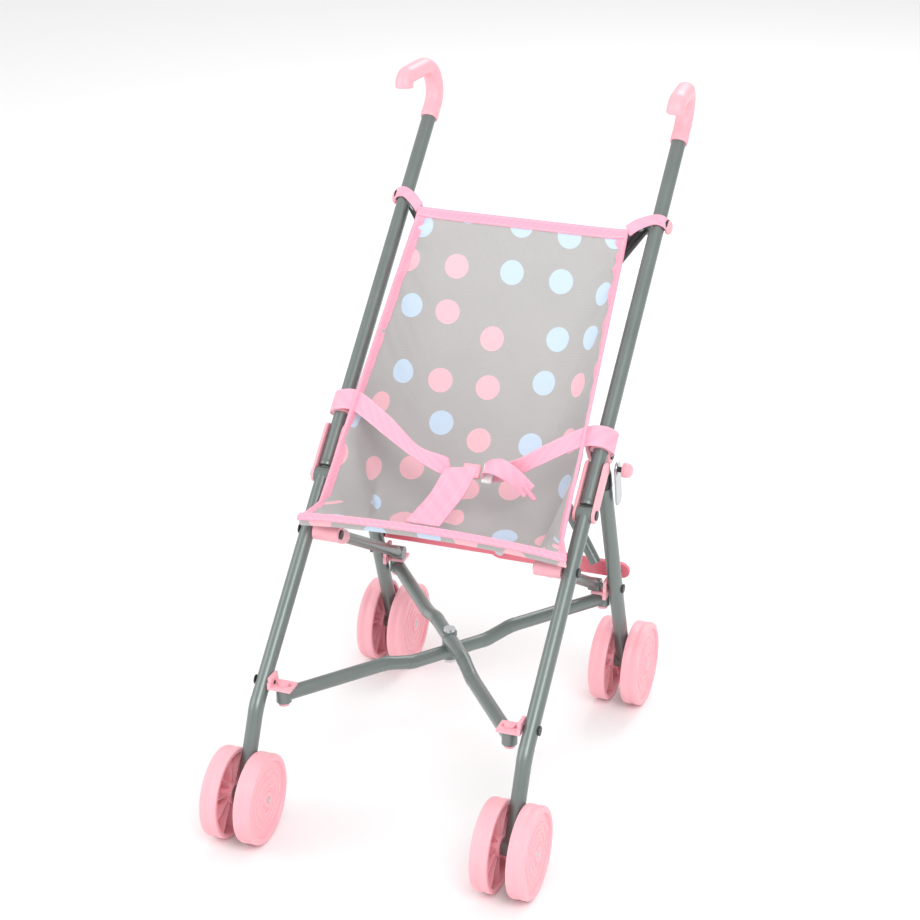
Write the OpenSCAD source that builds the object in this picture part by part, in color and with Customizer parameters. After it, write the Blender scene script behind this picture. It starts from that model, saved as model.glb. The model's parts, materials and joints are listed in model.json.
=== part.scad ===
// Folding doll stroller. Front faces -Y, +X is to the right, +Z is up, and the origin lies on the
// floor under the middle of the stroller. Each side is drawn once, on the right, and mirrored.

/* [Frame] */
// Distance from the middle plane to the handle and front-leg tubes
frame_half_w = 116; // [110:1:125]
// Distance from the middle plane to the rear-leg tubes
rear_half_w = 112; // [108:1:112]
// Outer radius of the frame tubes
tube_r = 6.35; // [6:0.05:6.4]
// Wall of the frame tubes
tube_wall = 1; // [0.8:0.1:1.5]
// Slope of the handle tube above level
handle_slope = 43.5; // [43:0.5:44]
// Length of the handle tube from the knuckle pin to the grip
handle_len = 366; // [355:1:375]
// Slope of the upper part of the front leg above level
leg_slope = 44; // [43.5:0.5:44.5]
// Lean of the rear leg from upright
rear_lean = 20.4; // [20:0.1:21]
// Radius of the cross arms
arm_r = 6; // [5.5:0.1:6.2]

/* [Wheels] */
// Wheel radius
wheel_r = 38; // [36:1:40]
// Wheel width
wheel_w = 15.5; // [14:0.5:16]
// Axle radius
axle_r = 2.5; // [2:0.1:3]

/* [Seat] */
// Half the width of the seat fabric at the top
seat_half_w = 95; // [90:1:97]
// Thickness of the padded seat panels
seat_t = 4; // [3:0.5:5]
// Width of the harness webbing
strap_w = 19; // [15:1:22]
// Thickness of the webbing
strap_t = 1.6; // [1.2:0.1:2]

/* [Hidden] */
$fn = 48;

elbow_r = 30;                   // bend radius of the tubes' middle line
elbow_lap = 1.5;                // degrees by which an elbow runs into its straight neighbours
fit = 0.05;                     // radial clearance of a running fit
gap = 0.4;                      // space between pieces that slide past each other
pin_r = 2.2;                    // rivets and screws that act as hinge pins
head_r = 4;
head_t = 1.2;
steel_grey = [0.54, 0.57, 0.56];
soft_pink = [0.98, 0.71, 0.78];
deep_pink = [0.96, 0.52, 0.62];
zinc = [0.72, 0.73, 0.75];
dark_screw = [0.25, 0.25, 0.27];
cloth_grey = [0.75, 0.75, 0.74];
webbing_pink = [0.97, 0.69, 0.79];

// Side view points are [y, z].
function slope_dir(a) = [cos(a), sin(a)];
function below_dir(a) = [sin(a), -cos(a)];
hand = slope_dir(handle_slope);
hand_below = below_dir(handle_slope);
leg = slope_dir(leg_slope);
knuckle_pin = [-45.5, 249.5];
function on_handle(s, below = 0) = knuckle_pin + s * hand + below * hand_below;
function on_leg(s) = knuckle_pin - s * leg;
handle_start = 12;              // tube end, measured up the handle from the knuckle pin
rear_top = on_handle(61.6, 16);
function on_rear_leg(drop) = rear_top + drop * [tan(rear_lean), -1];
rear_axle = on_rear_leg(rear_top[1] - wheel_r);
rail_front = on_leg(51);
rail_back = on_rear_leg(152.6);
bracket_screw = on_leg(186);
leg_bend = on_leg(208);
lower_lean = 25;                // lean of the front leg's lower part from upright
front_axle = leg_bend - (leg_bend[1] - wheel_r) * [tan(lower_lean), 1];
leg_turn = 90 - lower_lean - leg_slope;      // how far the leg bends
leg_tangent = elbow_r * tan(leg_turn / 2);
arm_z = 111;                    // height of the lower cross
pin_x = 98;                     // the cross arms' end pins
pin_y_front = -180;
pin_y_rear = 75.5;
cross_y = (pin_y_front + pin_y_rear) / 2;
arm_half = norm([pin_x, (pin_y_rear - pin_y_front) / 2]);
arm_angle = atan2(pin_x, (pin_y_rear - pin_y_front) / 2);
leg_inner_x = frame_half_w - tube_r;
rail_x = 93;
rail_r = 5;
rail_in_x = rail_x - rail_r - 2;  // inner face of the rail's front fitting
plate_t = 3;
front_plate_x = leg_inner_x - gap - plate_t;
rear_plate_x = rear_half_w - tube_r - gap - plate_t;
upper_end = on_handle(265);
upper_foot = rail_back + [-2, 25];
upper_r = 5;
upper_gap = upper_r + 1.2;      // half the step between the two crossing arms
crease = [-5, 217];             // where the seat back meets the seat base
back_top = [131, 435];
front_edge = [-96, 232];
wing_corner = [-75, 240];        // front end of the bound side edge

module side(s) mirror([s < 0 ? 1 : 0, 0, 0]) children();
module at(x, p) translate([x, p[0], p[1]]) children();
// A straight bar of radius r between two points
module rod(a, b, r) {
    d = b - a;
    translate(a) rotate([0, acos(d[2] / norm(d)), atan2(d[1], d[0])])
        cylinder(h = norm(d), r = r);
}
// A round bar in the XZ plane from the origin along +X: steps are [length, turn up after it]
module bar_path(steps, r, i = 0) {
    length = steps[i][0];
    turn = steps[i][1];
    rotate([0, 90, 0]) cylinder(h = length, r = r);
    if (i < len(steps) - 1) translate([length, 0, 0]) mirror([0, 0, turn < 0 ? 1 : 0]) {
        translate([0, 0, elbow_r]) rotate([90, 0, 0]) rotate([0, 0, -90 - elbow_lap])
            rotate_extrude(angle = abs(turn) + 2 * elbow_lap) translate([elbow_r, 0]) circle(r + 0.15);
        translate([elbow_r * sin(abs(turn)), 0, elbow_r * (1 - cos(turn))]) rotate([0, -abs(turn), 0])
            mirror([0, 0, turn < 0 ? 1 : 0]) bar_path(steps, r, i + 1);
    }
}
// A bar along X centred at x on side view point p
module cross_pin(x, p, r, len) at(x, p) rotate([0, 90, 0]) cylinder(h = len, r = r, center = true);
// A flat plate in the side plane between two points, from x to x + t
module side_plate(x, a, b, r, t) {
    d = b - a;
    translate([x, a[0], a[1]]) rotate([90, 0, 90]) linear_extrude(t) union() {
        circle(r);
        translate(d) circle(r);
        rotate(atan2(d[1], d[0])) translate([0, -r]) square([norm(d), 2 * r]);
    }
}
function p3(x, p) = [x, p[0], p[1]];

// ---- handle side frame ----
module handle_tube(s) side(s) color(steel_grey) difference() {
    rod(p3(frame_half_w, on_handle(handle_start)), p3(frame_half_w, on_handle(handle_len)), tube_r);
    rod(p3(frame_half_w, on_handle(handle_start - 1)), p3(frame_half_w, on_handle(handle_len + 1)),
        tube_r - tube_wall);
}

grip_r = 7.4;                     // half the thickness of the grip's band
grip_arc_r = 22;
grip_shank = 1;
grip_top_len = 28;
tip_arc_r = 9;
tip_turn = 80;
tip_len = 1.5;
socket_len = 13;
grip_toe = 7;                   // degrees by which the hooks point outwards
// Middle line of the hook as [side view point, heading]
function arc_path(centre, r, from, to, steps) =
    [for (i = [0 : steps]) let (a = from + (to - from) * i / steps) [centre + r * [cos(a), sin(a)], a + 90]];
hook_start = on_handle(handle_len - socket_len);
hook_centre = on_handle(handle_len + grip_shank, -grip_arc_r);
tip_centre = hook_centre + [-grip_top_len, grip_arc_r - tip_arc_r];
tip_heading = 180 + tip_turn;
tip_start = tip_centre + tip_arc_r * [cos(90 + tip_turn), sin(90 + tip_turn)];
hook_path = concat(
    [[hook_start, handle_slope]],
    arc_path(hook_centre, grip_arc_r, handle_slope - 90, 90, 14),
    arc_path(tip_centre, tip_arc_r, 90, 90 + tip_turn, 10),
    [[tip_start + tip_len * slope_dir(tip_heading), tip_heading]]);
function beside(p, r) = p[0] + r * [-sin(p[1]), cos(p[1])];
hook_outline = concat(
    [for (p = hook_path) beside(p, grip_r)],
    [for (i = [len(hook_path) - 1 : -1 : 0]) beside(hook_path[i], -grip_r)]);
// Turns the grip and its screw about the tube's own line
module toed() translate(p3(frame_half_w, hook_start)) rotate(grip_toe, p3(0, hand))
    translate(-p3(frame_half_w, hook_start)) children();
module grip(s) side(s) color(soft_pink) difference() {
    toed() translate([frame_half_w - grip_r, 0, 0]) rotate([90, 0, 90]) linear_extrude(2 * grip_r)
            polygon(hook_outline);
    rod(p3(frame_half_w, on_handle(handle_len - socket_len - 1)),
        p3(frame_half_w, on_handle(handle_len + 0.2)), tube_r);
}

ear_t = 2.6;
ear_in = rear_half_w - tube_r - gap - ear_t;
ear_out = rear_half_w + tube_r + gap;
clamp_s = 66;
module clamp(s) side(s) color(soft_pink) {
    difference() {
        union() {
            rod(p3(frame_half_w, on_handle(clamp_s - 9)), p3(frame_half_w, on_handle(clamp_s + 9)), 9.2);
            for (x = [ear_in, ear_out])
                side_plate(x, on_handle(clamp_s - 2, 3), rear_top, 7.5, ear_t);
        }
        rod(p3(frame_half_w, on_handle(clamp_s - 20)), p3(frame_half_w, on_handle(clamp_s + 20)), tube_r);
        // room for the round top of the rear leg, over its whole swing
        cross_pin(rear_half_w, rear_top, tube_r + 2.4, 2 * (tube_r + gap));
    }
}

cheek_t = 2.6;
cheek_len = 46;
module knuckle(s) side(s) color(soft_pink) difference() {
    union() {
        for (x = [frame_half_w - tube_r - gap - cheek_t, frame_half_w + tube_r + gap])
            side_plate(x, knuckle_pin, on_handle(cheek_len - 7), 7, cheek_t);
        rod(p3(frame_half_w, on_handle(handle_start + 1)), p3(frame_half_w, on_handle(cheek_len)), 8.6);
    }
    rod(p3(frame_half_w, on_handle(0)), p3(frame_half_w, on_handle(cheek_len + 9)), tube_r);
    cross_pin(frame_half_w, knuckle_pin, pin_r, 40);
}

module rivet(x, p, len) {
    cross_pin(x, p, pin_r, len);
    for (e = [-1, 1]) cross_pin(x + e * (len + head_t) / 2, p, head_r, head_t);
}
module handle_fasteners(s) side(s) color(dark_screw) {
    rivet(frame_half_w, knuckle_pin, 2 * (tube_r + gap + cheek_t));
    // strap button on the outside of the tube
    cross_pin(frame_half_w + tube_r + 1.5, on_handle(272), 5, 3);
    // rivet heads on the clamp's ears
    cross_pin(ear_in - head_t / 2, rear_top, head_r, head_t);
    cross_pin(ear_out + ear_t + head_t / 2, rear_top, head_r, head_t);
    // grip screw on the back of the socket
    toed() rod(p3(frame_half_w, on_handle(handle_len - 4, grip_r)),
               p3(frame_half_w, on_handle(handle_len - 4, grip_r + 1.4)), 3.4);
}

// ---- legs ----
module front_leg(s) side(s) color(steel_grey) difference() {
    union() {
        // seen from the side: down the slope, then the lower part turns towards upright
        at(frame_half_w, knuckle_pin) rotate([0, 0, -90]) rotate([0, leg_slope, 0])
            bar_path([[norm(leg_bend - knuckle_pin) - leg_tangent, -leg_turn],
                      [norm(front_axle - leg_bend) - leg_tangent, 0]], tube_r);
        cross_pin(frame_half_w, knuckle_pin, tube_r + 0.3, 2 * tube_r + 0.2);
        cross_pin(frame_half_w, front_axle, tube_r + 0.5, 2 * tube_r + 0.2);
    }
    cross_pin(frame_half_w, knuckle_pin, pin_r + fit, 40);
    cross_pin(frame_half_w, front_axle, axle_r + fit, 40);
    for (p = [rail_front, bracket_screw]) cross_pin(frame_half_w, p, pin_r, 40);
}

module rear_leg(s) side(s) color(steel_grey) difference() {
    union() {
        rod(p3(rear_half_w, rear_top), p3(rear_half_w, rear_axle), tube_r);
        cross_pin(rear_half_w, rear_top, tube_r + 0.3, 2 * tube_r + 0.2);
        cross_pin(rear_half_w, rear_axle, tube_r + 0.5, 2 * tube_r + 0.2);
    }
    cross_pin(rear_half_w, rear_axle, axle_r + fit, 40);
    cross_pin(rear_half_w, rail_back, pin_r, 40);
    crossbar_pin(0, pin_r);
}

// Screws through the legs; the rear ones also carry the crossbar
module screw(inner_x, outer_x, p) {
    cross_pin((inner_x + outer_x) / 2, p, pin_r, outer_x - inner_x);
    cross_pin(outer_x + head_t / 2, p, head_r, head_t);
}
module front_screws(s) side(s) color(dark_screw) {
    screw(front_plate_x, frame_half_w + tube_r, bracket_screw);
    screw(rail_in_x, frame_half_w + tube_r, rail_front);
    cross_pin(rail_in_x - head_t / 2, rail_front, head_r, head_t);
}
module rear_screws(s) side(s) color(dark_screw) {
    screw(rear_half_w - tube_r, rear_half_w + tube_r, rail_back);
    crossbar_pin(bar_layer(s) + bar_t, pin_r);
    crossbar_frame() translate([rear_half_w, bar_layer(s) + bar_t, 0]) rotate([-90, 0, 0])
        cylinder(h = head_t, r = head_r);
}

// ---- seat rail ----
rail_dir = (rail_back - rail_front) / norm(rail_back - rail_front);
module seat_rail(s) side(s) color(steel_grey) {
    union() {
        rod(p3(rail_x, rail_front + 10 * rail_dir), p3(rail_x, rail_back - rail_dir), rail_r);
        cross_pin(rail_x, rail_back, rail_r + 1, 2 * rail_r + 0.3);
        // stub that turns in the rear bracket
        cross_pin((rail_x + rear_plate_x + plate_t) / 2, rail_back, pin_r, rear_plate_x + plate_t - rail_x);
    }
}
module rail_fitting(s) side(s) color(soft_pink) difference() {
    union() {
        cross_pin((leg_inner_x - gap + rail_in_x) / 2, rail_front, 7, leg_inner_x - gap - rail_in_x);
        rod(p3(rail_x, rail_front), p3(rail_x, rail_front + 24 * rail_dir), rail_r + 1.5);
    }
    rod(p3(rail_x, rail_front + 10 * rail_dir), p3(rail_x, rail_front + 40 * rail_dir), rail_r);
    cross_pin(rail_x, rail_front, pin_r + fit, 60);
}

// ---- lower cross ----
tab_z = arm_z + arm_r + gap;
tab_t = 2.6;
tower_r = 7;                    // half the width of the plate beside the leg's screw
// L bracket: plate against the leg, tab over the arm's end, screw down through both
module arm_bracket(plate_x, p, pin_y, hole_r) {
    low_y = min(p[0], pin_y) - 8;
    high_y = max(p[0], pin_y) + 8;
    tab_in = pin_x - 9;
    difference() {
        union() {
            translate([plate_x, low_y, tab_z]) cube([plate_t, high_y - low_y, 6]);
            translate([plate_x, p[0] - tower_r, tab_z])
                cube([plate_t, 2 * tower_r, p[1] + tower_r - tab_z]);
            translate([tab_in, pin_y - 8, tab_z])
                cube([plate_x + plate_t / 2 - tab_in, 16, tab_t]);
        }
        cross_pin(plate_x, p, hole_r, 30);
    }
    // screw through the arm with its nut below
    translate([pin_x, pin_y, arm_z - arm_r - 2.6])
        cylinder(h = 2 * arm_r + gap + tab_t + 3, r = pin_r);
    translate([pin_x, pin_y, arm_z - arm_r - 3.2]) cylinder(h = 2.6, r = 4.5);
    translate([pin_x, pin_y, tab_z + tab_t - 0.1]) cylinder(h = 2, r = 4.5);
}
module front_bracket(s) side(s) color(soft_pink)
    arm_bracket(front_plate_x, bracket_screw, pin_y_front, pin_r + fit);
module rear_bracket(s) side(s) color(soft_pink)
    arm_bracket(rear_plate_x, rail_back, pin_y_rear, pin_r + 3.4);

// One arm along +Y through the cross, bowed up or down at the middle
bow = arm_r + 0.25;
bow_turn = 14;                  // slope of the arm beside its bowed middle
bow_flat = 34;
bow_slope = (bow - 2 * elbow_r * (1 - cos(bow_turn))) / sin(bow_turn);
bow_run = bow_flat + 2 * elbow_r * sin(bow_turn) + bow_slope * cos(bow_turn);
module cross_arm(up, turn) color(steel_grey) translate([0, cross_y, arm_z]) rotate(turn) difference() {
    union() {
        for (e = [0, 180]) rotate([0, 0, e]) translate([0, 0, up * bow]) rotate([0, 0, 90])
            mirror([0, 0, up > 0 ? 0 : 1])
            bar_path([[bow_flat, -bow_turn], [bow_slope, bow_turn], [arm_half - bow_run, 0]], arm_r);
        for (e = [-1, 1]) translate([0, e * arm_half, 0])
            cylinder(h = 2 * arm_r + 0.2, r = arm_r + 0.4, center = true);
        translate([0, 0, up * bow]) cylinder(h = 2 * arm_r + 0.2, r = arm_r + 0.4, center = true);
    }
    for (e = [-1, 1]) translate([0, e * arm_half, -20]) cylinder(h = 40, r = pin_r + fit);
    translate([0, 0, -30]) cylinder(h = 60, r = pin_r + fit);
}
module lower_arm_a() cross_arm(1, arm_angle);
module lower_arm_b() cross_arm(-1, -arm_angle);
module cross_bolt() color(zinc) translate([0, cross_y, arm_z]) {
    reach = 2 * arm_r + 0.25 + gap;
    translate([0, 0, -reach]) cylinder(h = 2 * reach, r = pin_r);
    for (e = [-1, 1]) translate([0, 0, e * (reach + 1.5)]) cylinder(h = 3, r = 5, center = true);
}

// ---- upper cross, behind the seat ----
upper_x = frame_half_w - tube_r - upper_r - 2.2;
swing_axis = [-0.413948, -0.75137, 0.513896];  // hinge line of an upper arm on the handle
foot_x = rear_plate_x - upper_r - 1.5;
module upper_arm(s, layer) side(s) color(steel_grey) {
    top = p3(upper_x, upper_end + layer * [upper_gap, 0]);
    rod(top, p3(-foot_x, upper_foot + layer * [upper_gap, 0]), upper_r);
    rod(top - (upper_r + 0.1) * swing_axis, top + (upper_r + 0.1) * swing_axis, upper_r + 0.3);
}
module upper_arm_a() upper_arm(1, 1);
module upper_arm_b() upper_arm(-1, -1);

// ---- rear crossbar: two flat halves lapped at the middle ----
bar_drop = 146;
bar_h = 18;
bar_t = 3;
bar_back = tube_r + 7.5;
function bar_layer(s) = s > 0 ? 0 : bar_t + gap;      // the left half lies behind the right one
module crossbar_frame() at(0, on_rear_leg(bar_drop) + bar_back * [cos(rear_lean), sin(rear_lean)])
    rotate([rear_lean, 0, 0]) children();
// The pin from inside the rear leg back to a depth behind the crossbar's front face
module crossbar_pin(depth, r) crossbar_frame() translate([rear_half_w, -bar_back, 0]) rotate([-90, 0, 0])
    cylinder(h = bar_back + depth, r = r);
module crossbar(s) side(s) color(deep_pink) difference() {
    crossbar_frame() translate([0, bar_layer(s), 0]) {
        translate([0, 0, -bar_h / 2]) cube([rear_half_w, bar_t, bar_h]);
        for (x = [0, rear_half_w]) translate([x, 0, 0]) rotate([-90, 0, 0])
            cylinder(h = bar_t, r = bar_h / 2);
    }
    crossbar_pin(3 * bar_t, pin_r + fit);
}
module crossbar_rivet() color(zinc) crossbar_frame() translate([0, -head_t, 0]) rotate([-90, 0, 0])
    cylinder(h = head_t, r = head_r);

// ---- side latch ----
latch_x = rear_half_w + tube_r + gap + ear_t + 2.2;
latch_rivet = on_rear_leg(46);
latch_knob_at = on_handle(88, 24);
module latch_plate(s) side(s) color(zinc)
    side_plate(latch_x, latch_rivet, latch_knob_at, 7, 2);
module latch_knob(s) side(s) color(soft_pink)
    cross_pin(latch_x + 2 + 5, latch_knob_at, 7, 10);

// ---- wheels ----
hub_r = 9;
rim_t = 5;
web_t = 5;
wheel_off = tube_r + 1 + wheel_w / 2;
module axle(x, p, s) side(s) color(zinc) {
    cross_pin(x, p, axle_r, 2 * (wheel_off + wheel_w / 2));
}
// Cup-shaped wheel: its face is at the side away from the leg
module wheel(x, p, face, s) side(s) color(soft_pink) at(x, p) rotate([0, face * 90, 0])
    difference() {
        rotate_extrude() polygon([
            [axle_r, -wheel_w / 2], [hub_r, -wheel_w / 2], [hub_r, wheel_w / 2 - web_t - 2],
            [wheel_r - rim_t, wheel_w / 2 - web_t - 2], [wheel_r - rim_t, -wheel_w / 2],
            [wheel_r - 1.5, -wheel_w / 2], [wheel_r, -wheel_w / 2 + 1.5],
            [wheel_r, wheel_w / 2 - 1.5], [wheel_r - 1.5, wheel_w / 2],
            [wheel_r - 5, wheel_w / 2], [wheel_r - 7, wheel_w / 2 - 2],
            [hub_r + 3, wheel_w / 2 - 2], [hub_r + 1, wheel_w / 2], [axle_r, wheel_w / 2]
        ]);
    }

// ---- seat ----
// A padded panel across the seat between two side view points
module panel(a, b, half_w) {
    d = b - a;
    at(0, a) rotate([atan2(d[1], d[0]), 0, 0]) translate([-half_w, 0, -seat_t])
        cube([2 * half_w, norm(d), seat_t]);
}
module seat_back() color(cloth_grey) panel(crease + [2, 6], back_top, seat_half_w);
module seat_base() color(cloth_grey) panel(front_edge, crease + [-4, 1.5], seat_half_w);
module seat_side(s) side(s) color(cloth_grey) translate([seat_half_w + 1.5, 0, 0])
    rotate([90, 0, 90]) linear_extrude(2.5)
        polygon([crease, back_top - [2, 6], wing_corner, front_edge]);

// ---- straps ----
// Flat webbing between two points, standing on edge in the direction of up
module webbing(a, b, w, t) {
    d = b - a;
    translate(a) rotate([0, 0, atan2(d[1], d[0])]) rotate([0, -asin(d[2] / norm(d)), 0])
        translate([0, -t / 2, -w / 2]) cube([norm(d), t, w]);
}
module corner_strap(s) side(s) color(webbing_pink)
    webbing(p3(seat_half_w - 2, back_top + [4, 7]), p3(frame_half_w - 9, on_handle(282, -9)), 12, strap_t);
buckle_at = [14, -34, 264];
module waist_strap(s) side(s) color(webbing_pink)
    webbing(p3(seat_half_w - 3, on_handle(clamp_s)), p3(20.5, [buckle_at[1], buckle_at[2]]),
            strap_w, strap_t);
module crotch_strap() color(webbing_pink)
    webbing([0, front_edge[0] + 8, front_edge[1] + 4], [0, buckle_at[1] - 6, buckle_at[2] - 12],
            strap_t + 0.2, strap_w);
module buckle() color(soft_pink) translate([0, buckle_at[1], buckle_at[2]])
    cube([34, 7, 22], center = true);

handle_tube(1);  // right_handle_tube
handle_tube(-1);  // left_handle_tube
grip(1);  // right_grip
grip(-1);  // left_grip
clamp(1);  // right_clamp
clamp(-1);  // left_clamp
knuckle(1);  // right_knuckle
knuckle(-1);  // left_knuckle
handle_fasteners(1);  // right_handle_fasteners
handle_fasteners(-1);  // left_handle_fasteners
front_leg(1);  // right_front_leg
front_leg(-1);  // left_front_leg
rear_leg(1);  // right_rear_leg
rear_leg(-1);  // left_rear_leg
seat_rail(1);  // right_seat_rail
seat_rail(-1);  // left_seat_rail
rail_fitting(1);  // right_rail_fitting
rail_fitting(-1);  // left_rail_fitting
front_screws(1);  // right_front_screws
front_screws(-1);  // left_front_screws
rear_screws(1);  // right_rear_screws
rear_screws(-1);  // left_rear_screws
front_bracket(1);  // right_front_bracket
front_bracket(-1);  // left_front_bracket
rear_bracket(1);  // right_rear_bracket
rear_bracket(-1);  // left_rear_bracket
lower_arm_a();
lower_arm_b();
cross_bolt();
upper_arm_a();
upper_arm_b();
crossbar(1);  // right_crossbar
crossbar(-1);  // left_crossbar
crossbar_rivet();
latch_plate(1);  // right_latch_plate
latch_plate(-1);  // left_latch_plate
latch_knob(1);  // right_latch_knob
latch_knob(-1);  // left_latch_knob
axle(frame_half_w, front_axle, 1);  // right_front_axle
axle(frame_half_w, front_axle, -1);  // left_front_axle
axle(rear_half_w, rear_axle, 1);  // right_rear_axle
axle(rear_half_w, rear_axle, -1);  // left_rear_axle
wheel(frame_half_w + wheel_off, front_axle, 1, 1);  // right_front_outer_wheel
wheel(frame_half_w - wheel_off, front_axle, -1, 1);  // right_front_inner_wheel
wheel(frame_half_w + wheel_off, front_axle, 1, -1);  // left_front_outer_wheel
wheel(frame_half_w - wheel_off, front_axle, -1, -1);  // left_front_inner_wheel
wheel(rear_half_w + wheel_off, rear_axle, 1, 1);  // right_rear_outer_wheel
wheel(rear_half_w - wheel_off, rear_axle, -1, 1);  // right_rear_inner_wheel
wheel(rear_half_w + wheel_off, rear_axle, 1, -1);  // left_rear_outer_wheel
wheel(rear_half_w - wheel_off, rear_axle, -1, -1);  // left_rear_inner_wheel
seat_back();
seat_base();
seat_side(1);  // right_seat_side
seat_side(-1);  // left_seat_side
corner_strap(1);  // right_corner_strap
corner_strap(-1);  // left_corner_strap
waist_strap(1);  // right_waist_strap
waist_strap(-1);  // left_waist_strap
crotch_strap();
buckle();
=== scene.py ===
# %% [markdown]
# # A folding doll stroller
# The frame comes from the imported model: tubes, rivets, brackets and axles are already there, at
# their real places. This lesson gives them finishes, and adds what a sewing room and a moulding
# shop would add: a sling seat of dotted cloth, webbing, hooked grips and moulded wheels.

# %% Load the frame
import json
import math

import bmesh
import bpy
from mathutils import Matrix, Vector


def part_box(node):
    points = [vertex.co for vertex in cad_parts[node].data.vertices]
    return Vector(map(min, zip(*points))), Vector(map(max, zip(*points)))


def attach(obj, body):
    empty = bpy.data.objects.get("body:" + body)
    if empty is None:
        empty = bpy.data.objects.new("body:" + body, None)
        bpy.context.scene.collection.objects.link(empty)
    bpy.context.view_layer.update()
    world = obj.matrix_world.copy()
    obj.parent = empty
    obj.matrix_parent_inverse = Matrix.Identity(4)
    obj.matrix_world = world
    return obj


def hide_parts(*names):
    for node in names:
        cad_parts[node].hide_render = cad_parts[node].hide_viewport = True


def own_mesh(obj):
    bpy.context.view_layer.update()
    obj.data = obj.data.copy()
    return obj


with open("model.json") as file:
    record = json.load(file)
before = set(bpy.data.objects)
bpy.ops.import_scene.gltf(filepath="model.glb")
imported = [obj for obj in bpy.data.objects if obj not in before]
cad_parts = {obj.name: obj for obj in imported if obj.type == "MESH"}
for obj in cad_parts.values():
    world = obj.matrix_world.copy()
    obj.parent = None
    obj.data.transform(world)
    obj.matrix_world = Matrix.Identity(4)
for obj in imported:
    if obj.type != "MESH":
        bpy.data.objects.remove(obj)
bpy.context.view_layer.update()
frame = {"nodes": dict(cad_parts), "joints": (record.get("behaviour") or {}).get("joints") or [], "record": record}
MM = 0.001
JOINTS = {joint["name"]: joint for joint in frame["joints"]}

# %% [markdown]
# ## Measures taken from the frame
# Both handle tubes lean back at the same slope from the knuckle pins, so most places on the
# stroller are easiest to state as a distance up the handle and a distance below it.

# %% Places on the handle tubes
HANDLE_SLOPE = math.radians(43.5)
UP_HANDLE = Vector((0, math.cos(HANDLE_SLOPE), math.sin(HANDLE_SLOPE)))
BELOW_HANDLE = Vector((0, math.sin(HANDLE_SLOPE), -math.cos(HANDLE_SLOPE)))
KNUCKLE = Vector(JOINTS["right_handle_hinge"]["pos_m"])
TUBE_R = 6.35 * MM
HANDLE_LEN = 366 * MM
HALF_W = KNUCKLE.x
SEAT_BODY = "right_handle"
SIDES = (("right", 1), ("left", -1))


def on_handle(s, below=0, x=HALF_W):
    """A point s up the handle from the knuckle pin and below its middle line."""
    point = Vector((0, KNUCKLE.y, KNUCKLE.z)) + s * UP_HANDLE + below * BELOW_HANDLE
    point.x = x
    return point


print("knuckle at", [round(v, 4) for v in KNUCKLE])

# %% [markdown]
# ## Writing shader maths as expressions
# A small class wraps a socket. Adding, multiplying or comparing two of them adds a Math node, so
# a mask can be written the way it would be said.


# %% The socket class
class Wire:
    """A socket in a node tree that can be used in sums."""

    def __init__(self, tree, socket):
        self.tree = tree
        self.socket = socket

    def math(self, operation, *others, swap=False):
        node = self.tree.nodes.new("ShaderNodeMath")
        node.operation = operation
        values = [self, *others]
        if swap:
            values.reverse()
        for slot, value in zip(node.inputs, values):
            plug(self.tree, slot, value)
        return Wire(self.tree, node.outputs[0])

    def __add__(self, other):
        return self.math("ADD", other)

    __radd__ = __add__

    def __sub__(self, other):
        return self.math("SUBTRACT", other)

    def __rsub__(self, other):
        return self.math("SUBTRACT", other, swap=True)

    def __mul__(self, other):
        return self.math("MULTIPLY", other)

    __rmul__ = __mul__

    def __lt__(self, other):
        return self.math("LESS_THAN", other)

    def __gt__(self, other):
        return self.math("GREATER_THAN", other)


def plug(tree, slot, value):
    if isinstance(value, Wire):
        tree.links.new(value.socket, slot)
    else:
        slot.default_value = value


class Finish:
    """A material with its Principled shader, and one method for every other node."""

    def __init__(self, name, colour, roughness, metallic=0.0, **sockets):
        self.material = bpy.data.materials.new(name)
        self.material.use_nodes = True
        self.tree = self.material.node_tree
        self.shader = self.tree.nodes["Principled BSDF"]
        self.set("Base Color", (*colour, 1))
        self.set("Roughness", roughness)
        self.set("Metallic", metallic)
        for socket, value in sockets.items():
            self.set(socket.replace("_", " "), value)

    def set(self, socket, value):
        plug(self.tree, self.shader.inputs[socket], value)

    def node(self, kind, settings=None, out=0, **inputs):
        node = self.tree.nodes.new(kind)
        for key, value in (settings or {}).items():
            setattr(node, key, value)
        for key, value in inputs.items():
            plug(self.tree, node.inputs[key.replace("_", " ")], value)
        return Wire(self.tree, node.outputs[out])

    def place(self, output="Object"):
        return self.node("ShaderNodeTexCoord", out=output)

    def noise(self, where, scale, detail=3.0, rough=0.5):
        return self.node("ShaderNodeTexNoise", Vector=where, Scale=scale, Detail=detail,
                         Roughness=rough)

    def mix(self, factor, a, b):
        node = self.tree.nodes.new("ShaderNodeMix")
        node.data_type = "RGBA"
        for slot, value in zip((node.inputs[0], node.inputs[6], node.inputs[7]), (factor, a, b)):
            plug(self.tree, slot, value if isinstance(value, (Wire, float)) else (*value, 1))
        return Wire(self.tree, node.outputs[2])

    def bump(self, height, strength, distance):
        node = self.tree.nodes.new("ShaderNodeBump")
        node.inputs["Strength"].default_value = strength
        node.inputs["Distance"].default_value = distance
        plug(self.tree, node.inputs["Height"], height)
        self.set("Normal", Wire(self.tree, node.outputs[0]))


# %% [markdown]
# ## Painted tube
# Powder paint over steel tube is smooth but never flat: it has a fine orange-peel skin, and its
# grey shifts a little from place to place. Two noises at different scales do both.

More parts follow.
